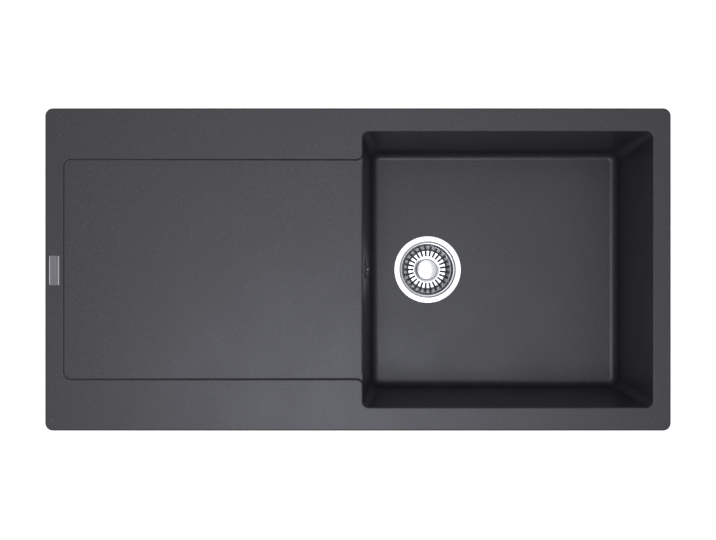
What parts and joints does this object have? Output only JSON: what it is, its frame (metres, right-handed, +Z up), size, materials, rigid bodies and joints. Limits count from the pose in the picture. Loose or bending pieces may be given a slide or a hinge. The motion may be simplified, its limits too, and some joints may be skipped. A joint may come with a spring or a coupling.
{
  "type": "kitchen sink with drainboard",
  "caption": "Inset composite kitchen sink with one square bowl, a plain drainer, a lift-out basket waste, an overflow and swivelling fixing clamps under the rim.",
  "frame": {"origin": "centre of the rim's outline, on the plane of its underside, which is the worktop's top", "axes": "+X along the sink towards the bowl end, +Y to the back, +Z up"},
  "size_m": [0.97, 0.5, 0.2962],
  "materials": {
    "granite": "matt, fine grain",
    "inlay_steel": "satin, plain",
    "polished_steel": "polished",
    "steel": "zinc plated",
    "brass": "machined",
    "rubber": "matt",
    "foam": "closed-cell strip",
    "plastic": "moulded",
    "dark_plastic": "moulded",
    "nylon": "moulded"
  },
  "bodies": {
    "sink": {"sink_body": "granite", "inlay_plate": "inlay_steel", "rim_seal": "foam", "strainer_cup": "polished_steel", "flange_seal": "rubber", "lower_gasket": "rubber", "waste_body": "plastic", "waste_spider": "plastic", "waste_nut": "brass", "waste_screw": "polished_steel", "overflow_cover": "polished_steel", "overflow_screw": "polished_steel", "overflow_seal": "rubber", "overflow_elbow": "plastic", "overflow_hose": "plastic", "hose_nut_upper": "dark_plastic", "hose_nut_lower": "dark_plastic", "hose_rings": "rubber", "clamp_dowels": "nylon"},
    "basket": {"strainer_basket": "polished_steel", "basket_knob": "polished_steel", "basket_stem": "steel", "basket_seal": "rubber", "stem_washer": "dark_plastic"},
    "screw_1": {"clamp_screw_1": "steel"},
    "claw_1": {"clamp_claw_1": "steel"},
    "screw_2": {"clamp_screw_2": "steel"},
    "claw_2": {"clamp_claw_2": "steel"},
    "screw_3": {"clamp_screw_3": "steel"},
    "claw_3": {"clamp_claw_3": "steel"},
    "screw_4": {"clamp_screw_4": "steel"},
    "claw_4": {"clamp_claw_4": "steel"},
    "screw_5": {"clamp_screw_5": "steel"},
    "claw_5": {"clamp_claw_5": "steel"},
    "screw_6": {"clamp_screw_6": "steel"},
    "claw_6": {"clamp_claw_6": "steel"},
    "screw_7": {"clamp_screw_7": "steel"},
    "claw_7": {"clamp_claw_7": "steel"},
    "screw_8": {"clamp_screw_8": "steel"},
    "claw_8": {"clamp_claw_8": "steel"}
  },
  "joints": [
    {"name": "basket_lift", "type": "slide", "parent": "sink", "child": "basket", "axis": [0, 0, 1], "range_m": [0, 0.27]},
    {"name": "screw_drive_1", "type": "slide", "parent": "sink", "child": "screw_1", "axis": [0, 0, 1], "range_m": [0, 0.017]},
    {"name": "claw_swing_1", "type": "hinge", "parent": "screw_1", "child": "claw_1", "pos_m": [-0.33, 0.2295, -0.052], "axis": [0, 0, 1], "range_deg": [0, 90]},
    {"name": "screw_drive_2", "type": "slide", "parent": "sink", "child": "screw_2", "axis": [0, 0, 1], "range_m": [0, 0.017]},
    {"name": "claw_swing_2", "type": "hinge", "parent": "screw_2", "child": "claw_2", "pos_m": [0.04, 0.2295, -0.052], "axis": [0, 0, 1], "range_deg": [0, 90]},
    {"name": "screw_drive_3", "type": "slide", "parent": "sink", "child": "screw_3", "axis": [0, 0, 1], "range_m": [0, 0.017]},
    {"name": "claw_swing_3", "type": "hinge", "parent": "screw_3", "child": "claw_3", "pos_m": [0.4, 0.2295, -0.052], "axis": [0, 0, 1], "range_deg": [0, 90]},
    {"name": "screw_drive_4", "type": "slide", "parent": "sink", "child": "screw_4", "axis": [0, 0, 1], "range_m": [0, 0.017]},
    {"name": "claw_swing_4", "type": "hinge", "parent": "screw_4", "child": "claw_4", "pos_m": [-0.33, -0.2295, -0.052], "axis": [0, 0, 1], "range_deg": [0, 90]},
    {"name": "screw_drive_5", "type": "slide", "parent": "sink", "child": "screw_5", "axis": [0, 0, 1], "range_m": [0, 0.017]},
    {"name": "claw_swing_5", "type": "hinge", "parent": "screw_5", "child": "claw_5", "pos_m": [0.04, -0.2295, -0.052], "axis": [0, 0, 1], "range_deg": [0, 90]},
    {"name": "screw_drive_6", "type": "slide", "parent": "sink", "child": "screw_6", "axis": [0, 0, 1], "range_m": [0, 0.017]},
    {"name": "claw_swing_6", "type": "hinge", "parent": "screw_6", "child": "claw_6", "pos_m": [0.4, -0.2295, -0.052], "axis": [0, 0, 1], "range_deg": [0, 90]},
    {"name": "screw_drive_7", "type": "slide", "parent": "sink", "child": "screw_7", "axis": [0, 0, 1], "range_m": [0, 0.017]},
    {"name": "claw_swing_7", "type": "hinge", "parent": "screw_7", "child": "claw_7", "pos_m": [-0.4645, -0.11, -0.052], "axis": [0, 0, 1], "range_deg": [0, 90]},
    {"name": "screw_drive_8", "type": "slide", "parent": "sink", "child": "screw_8", "axis": [0, 0, 1], "range_m": [0, 0.017]},
    {"name": "claw_swing_8", "type": "hinge", "parent": "screw_8", "child": "claw_8", "pos_m": [-0.4645, 0.11, -0.052], "axis": [0, 0, 1], "range_deg": [0, 90]}
  ]
}
